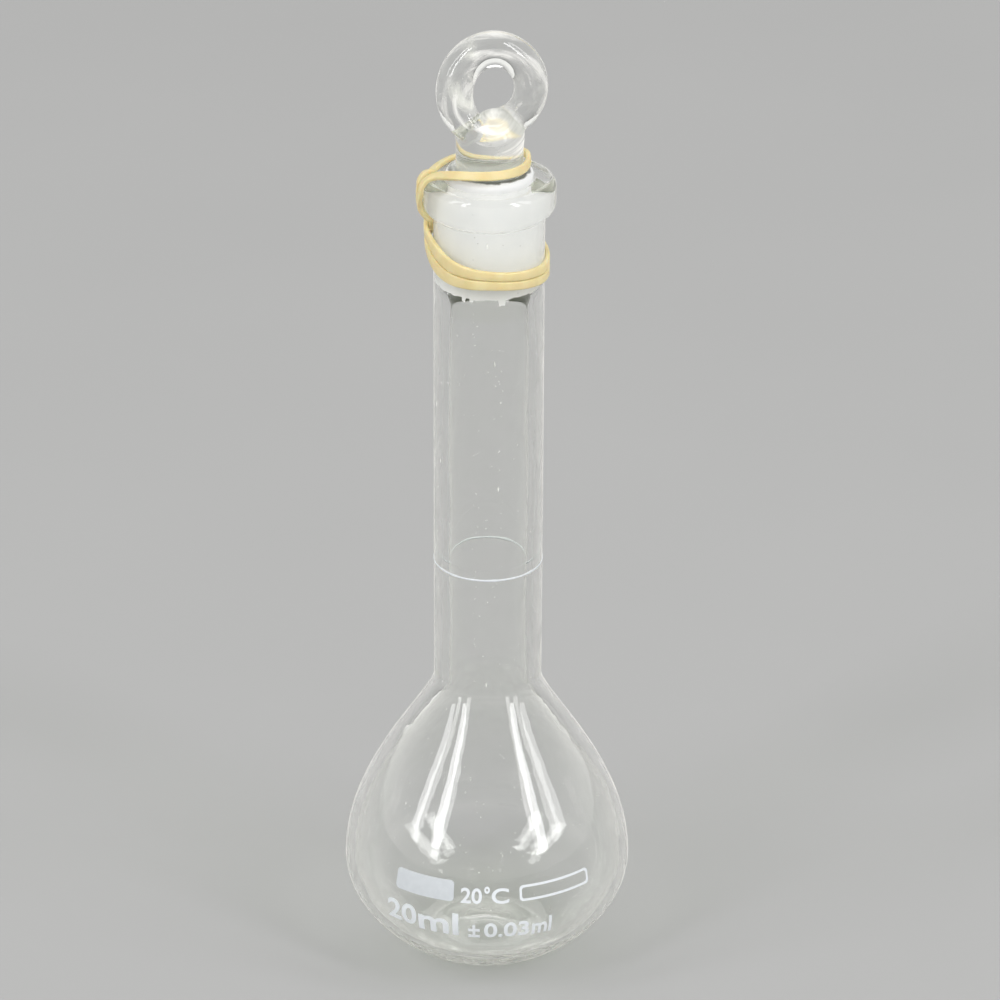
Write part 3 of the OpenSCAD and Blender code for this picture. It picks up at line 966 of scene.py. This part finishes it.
# ---------------------------------------------------------------------------------------------
# The rubber band: one closed flat band, hitched round the socket and looped over the stem
# ---------------------------------------------------------------------------------------------
BAND_THICK = 0.55
BAND_EDGE = 0.16
BAND_STEPS = 6
BAND_OFF_GLASS = 0.04
BAND_OFF_BAND = 0.05
# How far the band's middle is from the axis where it lies on the glass and where it lies on itself.
WRAP_R = NECK_R + BAND_OFF_GLASS + BAND_THICK / 2
OVER_R = WRAP_R + BAND_THICK + BAND_OFF_BAND
# Each row: the angle, the distance from the axis, the height, the band's width, and the tilt of its
# flat face, from 0 (facing outwards) to larger values (facing up).
HITCH_ROUTE = (
    (-88, WRAP_R, 98.9, 1, 0),
    (-95, WRAP_R, 97.9, 0.95, 0),
    (-105, WRAP_R, 97.1, 0.95, 0),
    (-119, WRAP_R, 96.6, 1, 0),
    (-136, WRAP_R, 96.1, 1.4, 0),
    (-156, WRAP_R, 95.3, 1.6, 0),
    (-178, WRAP_R, 94.4, 1.6, 0),
    (-200, WRAP_R, 93.6, 1.6, 0),
    (-222, WRAP_R, 93, 1.6, 0),
    (-246, WRAP_R, 92.6, 1.5, 0),
    (-270, WRAP_R, 92.5, 1.2, 0),
    (-294, WRAP_R, 92.5, 1.15, 0),
    (-318, WRAP_R, 92.8, 1.1, 0),
    (-340, WRAP_R, 93.1, 1.1, 0),
    (-360, WRAP_R, 93.3, 1.15, 0),
    (-381, WRAP_R, 93.3, 1.3, 0),
    (-403, WRAP_R, 93.5, 1.5, 0),
    (-424, WRAP_R + 0.05, 94.2, 1.6, 0),
    (-441, WRAP_R + 0.25, 95.1, 1.4, 0),
    (-453, OVER_R - 0.1, 95.7, 1.1, 0),
    (-464, OVER_R, 96, 1, 0),
    (-475, OVER_R, 96.4, 1, 0),
    (-482, OVER_R, 97.1, 1, 0),
    (-479, OVER_R, 98, 1, 0),
    (-468, OVER_R, 98.3, 1, 0),
    (-457, OVER_R, 97.9, 1, 0),
    (-446, OVER_R - 0.1, 97.4, 1.1, 0),
    (-434, WRAP_R + 0.25, 96.8, 1.4, 0),
    (-420, WRAP_R, 95.9, 1.6, 0),
    (-400, WRAP_R, 95.1, 1.5, 0),
    (-380, WRAP_R, 94.7, 1.3, 0),
    (-360, WRAP_R, 94.5, 1.15, 0),
    (-340, WRAP_R, 94.25, 1.1, 0),
    (-318, WRAP_R, 94, 1.1, 0),
    (-294, WRAP_R, 93.75, 1.15, 0),
    (-270, WRAP_R, 93.8, 1.2, 0),
    (-246, WRAP_R, 94.2, 1.5, 0),
    (-222, WRAP_R, 94.9, 1.6, 0),
    (-200, WRAP_R, 95.5, 1.6, 0),
    (-178, WRAP_R, 96.3, 1.6, 0),
    (-156, WRAP_R, 97.1, 1.6, 0),
    (-136, WRAP_R, 97.6, 1.2, 0),
    (-120, WRAP_R, 97.7, 0.95, 0),
    (-108, WRAP_R, 98.1, 0.95, 0),
    (-97, WRAP_R, 98.9, 1, 0),
)
LOOP_ROUTE = (
    (-88, WRAP_R, 98.9, 1, 0),
    (-86, 7.6, 99.5, 1, 0),
    (-83, 8.3, 100.7, 1, 0),
    (-79, 8.45, 101.9, 1, 0),
    (-75, 8.42, 103, 1, 0.1),
    (-73, 8.3, 104.1, 1, 0.8),
    (-71, 7.6, 105, 1, 1.6),
    (-64, 6.6, 105.6, 1.1, 1.4),
    (-42, 6.1, 106.3, 1.1, 0.8),
    (-18, 5.7, 106.6, 1.1, 0.6),
    (8, 5.3, 106.6, 1.1, 0.5),
    (36, 4.9, 106.5, 1.1, 0.3),
    (66, 4.65, 106.4, 1.1, 0.1),
    (98, 4.65, 106.6, 1.1, 0.1),
    (128, 4.9, 106.3, 1.1, 0.3),
    (154, 5.6, 105.9, 1.1, 0.8),
    (178, 6.1, 105.3, 1.1, 1.5),
    (200, 6.3, 104.9, 1.1, 3),
    (222, 6.4, 104.8, 1.1, 3),
    (245, 6.4, 104.8, 1.1, 3),
    (265, 6.8, 104.8, 1.1, 3),
    (273, 7.6, 104.9, 1, 1.6),
    (276, 8.3, 104.1, 1, 0.8),
    (275.5, 8.42, 103, 1, 0.1),
    (271, 8.45, 101.9, 1, 0),
    (267.5, 8.3, 100.7, 1, 0),
    (264.5, 7.6, 99.5, 1, 0),
    (263, WRAP_R, 98.9, 1, 0),
)


def smooth_closed(rows, turn):
    """A smooth curve through the rows, whose last is the first one again, turn degrees further."""
    shift = np.array([turn, 0, 0, 0, 0])
    extended = np.vstack([rows[-2] - shift, rows, rows[1] + shift])
    made = []
    for i in range(1, len(extended) - 2):
        p0, p1, p2, p3 = extended[i - 1:i + 3]
        for t in np.arange(BAND_STEPS) / BAND_STEPS:
            made.append(0.5 * (2 * p1 + (p2 - p0) * t + (2 * p0 - 5 * p1 + 4 * p2 - p3) * t**2
                               + (3 * p1 - 3 * p2 + p3 - p0) * t**3))
    return np.array(made)


def band_section(width):
    """Half widths and half thicknesses of a flat section with round edges, one pair per point."""
    w, h = width / 2, BAND_THICK / 2
    corners = ((w, h, 0), (-w, h, 90), (-w, -h, 180), (w, -h, 270))
    made = []
    for x, y, start in corners:
        made.append(arc(x - math.copysign(BAND_EDGE, x), y - math.copysign(BAND_EDGE, y), BAND_EDGE,
                        start, start + 90, 3))
    return np.vstack(made)


def make_band(latex):
    loop = np.array(LOOP_ROUTE, dtype=float)[::-1] - np.array([360, 0, 0, 0, 0])
    rows = np.vstack([np.array(HITCH_ROUTE, dtype=float), loop[1:]])
    rows = smooth_closed(rows, rows[-1][0] - rows[0][0])
    middle = round_at(rows[:, 0], rows[:, 1], rows[:, 2])
    count = len(rows)
    points = []
    for i in range(count):
        ahead = middle[(i + 1) % count] - middle[i - 1]
        ahead /= np.linalg.norm(ahead)
        across = np.cross(ahead, round_at(rows[i, 0], 1.0, rows[i, 4]))
        across /= np.linalg.norm(across)
        out = np.cross(across, ahead)
        section = band_section(rows[i, 3])
        points.extend(middle[i] + section[:, :1] * across + section[:, 1:] * out)
    faces = torus_faces(count, len(section))
    piece = mesh_object("rubber_band", points, faces, [latex])
    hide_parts("band_neck_hitch", "band_stopper_loop")
    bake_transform(piece)


# ---------------------------------------------------------------------------------------------
# Floor, world and lamps
# ---------------------------------------------------------------------------------------------
def make_floor():
    material, tree, output, place = new_material("floor")
    darkest = tuple(c * FLOOR_DARKEST for c in FLOOR_COLOUR)
    cloud = noise(tree, place, scale=0.01, detail=3.0)
    colour = colour_ramp(tree, cloud, ((0.3, darkest), (0.7, FLOOR_COLOUR)))
    face = add_node(tree, "ShaderNodeBsdfPrincipled", None, Base_Color=colour, Roughness=0.8,
                    Specular_IOR_Level=0.2)
    tree.links.new(face.outputs[0], output.inputs["Surface"])
    turns = 2 * math.pi * np.arange(FLOOR_SIDES) / FLOOR_SIDES
    rim = [(FLOOR_RADIUS * math.cos(t), FLOOR_RADIUS * math.sin(t), -FLOOR_GAP) for t in turns]
    mesh = bpy.data.meshes.new("floor")
    mesh.from_pydata(rim, [], [list(range(FLOOR_SIDES))])
    mesh.materials.append(material)
    floor = bpy.data.objects.new("floor", mesh)
    bpy.context.collection.objects.link(floor)


def make_world():
    """An even fill for what it lights. Seen in glass it is a pale studio that darkens overhead."""
    world = bpy.data.worlds.new("world")
    world.use_nodes = True
    tree = world.node_tree
    tree.nodes.clear()
    output = tree.nodes.new("ShaderNodeOutputWorld")
    path = add_node(tree, "ShaderNodeLightPath").outputs
    seen = path["Is Camera Ray"]
    for kind in ("Is Glossy Ray", "Is Transmission Ray"):
        seen = math_node(tree, "MAXIMUM", seen, path[kind])
    towards = add_node(tree, "ShaderNodeTexCoord").outputs["Generated"]
    studio = colour_ramp(tree, split(tree, towards)[2], STUDIO)
    light = add_node(tree, "ShaderNodeBackground", None, Color=(1, 1, 1, 1), Strength=FILL_LIGHT)
    backdrop = add_node(tree, "ShaderNodeBackground", None, Color=studio, Strength=1.0)
    surface = mixed(tree, seen, light.outputs[0], backdrop.outputs[0])
    tree.links.new(surface, output.inputs["Surface"])
    bpy.context.scene.world = world


# Each softbox: its name, angle from the front, height of its middle and distance in metres, width,
# height, and power in watts.
SOFTBOXES = (
    ("softbox_far_left", -68, 1.05, 1.5, 0.24, 1.5, 7.5),
    ("softbox_left", -45, 1.00, 1.5, 0.26, 1.5, 12.5),
    ("softbox_right", 49, 0.95, 1.5, 0.26, 1.5, 13),
    ("softbox_far_right", 70, 1.00, 1.5, 0.34, 1.5, 8),
    ("softbox_back", 180, 1.40, 1.6, 1.6, 1.0, 8),
)
# The point that the softboxes face, in metres.
LAMPS_FACE = (0, 0, 0.06)


def make_lights():
    for name, angle, height, distance, width, tall, power in SOFTBOXES:
        data = bpy.data.lights.new(name, "AREA")
        data.shape = "RECTANGLE"
        data.size = width
        data.size_y = tall
        data.energy = power
        lamp = bpy.data.objects.new(name, data)
        at = round_at(angle, distance, height)
        back = at - LAMPS_FACE
        back /= np.linalg.norm(back)
        side = np.cross((0, 0, 1), back)
        side /= np.linalg.norm(side)
        up = np.cross(back, side)
        lamp.matrix_world = Matrix((
            (side[0], up[0], back[0], at[0]),
            (side[1], up[1], back[1], at[1]),
            (side[2], up[2], back[2], at[2]),
            (0, 0, 0, 1)))
        bpy.context.collection.objects.link(lamp)


def set_view():
    scene = bpy.context.scene
    scene.view_settings.view_transform = "Standard"
    scene.cycles.max_bounces = 24
    scene.cycles.transmission_bounces = 20
    scene.cycles.glossy_bounces = 20
    scene.cycles.diffuse_bounces = 4
    scene.cycles.transparent_max_bounces = 32
    scene.cycles.sample_clamp_indirect = 6.0


# ---------------------------------------------------------------------------------------------
# The object
# ---------------------------------------------------------------------------------------------
make_camera()
enamel = enamel_material("print_enamel", PRINT_WHITE)
outline = bulb_outline()
make_flask(glass_material("polished_glass"), socket_material(GROUND_EDGE_H))
make_mark(enamel)
make_patch(outline, enamel_material("patch_enamel", PATCH_WHITE))
make_field(outline, enamel)
make_figures(outline, enamel)
# The stopper's glass carries painted white streaks round its ring and a painted veil on its dome.
make_stopper(glass_material("streak_painted_glass", with_painted_streaks=True), plug_material(PLUG_GROUND_TO_H))
make_band(latex_material())
make_floor()
make_world()
make_lights()
set_view()
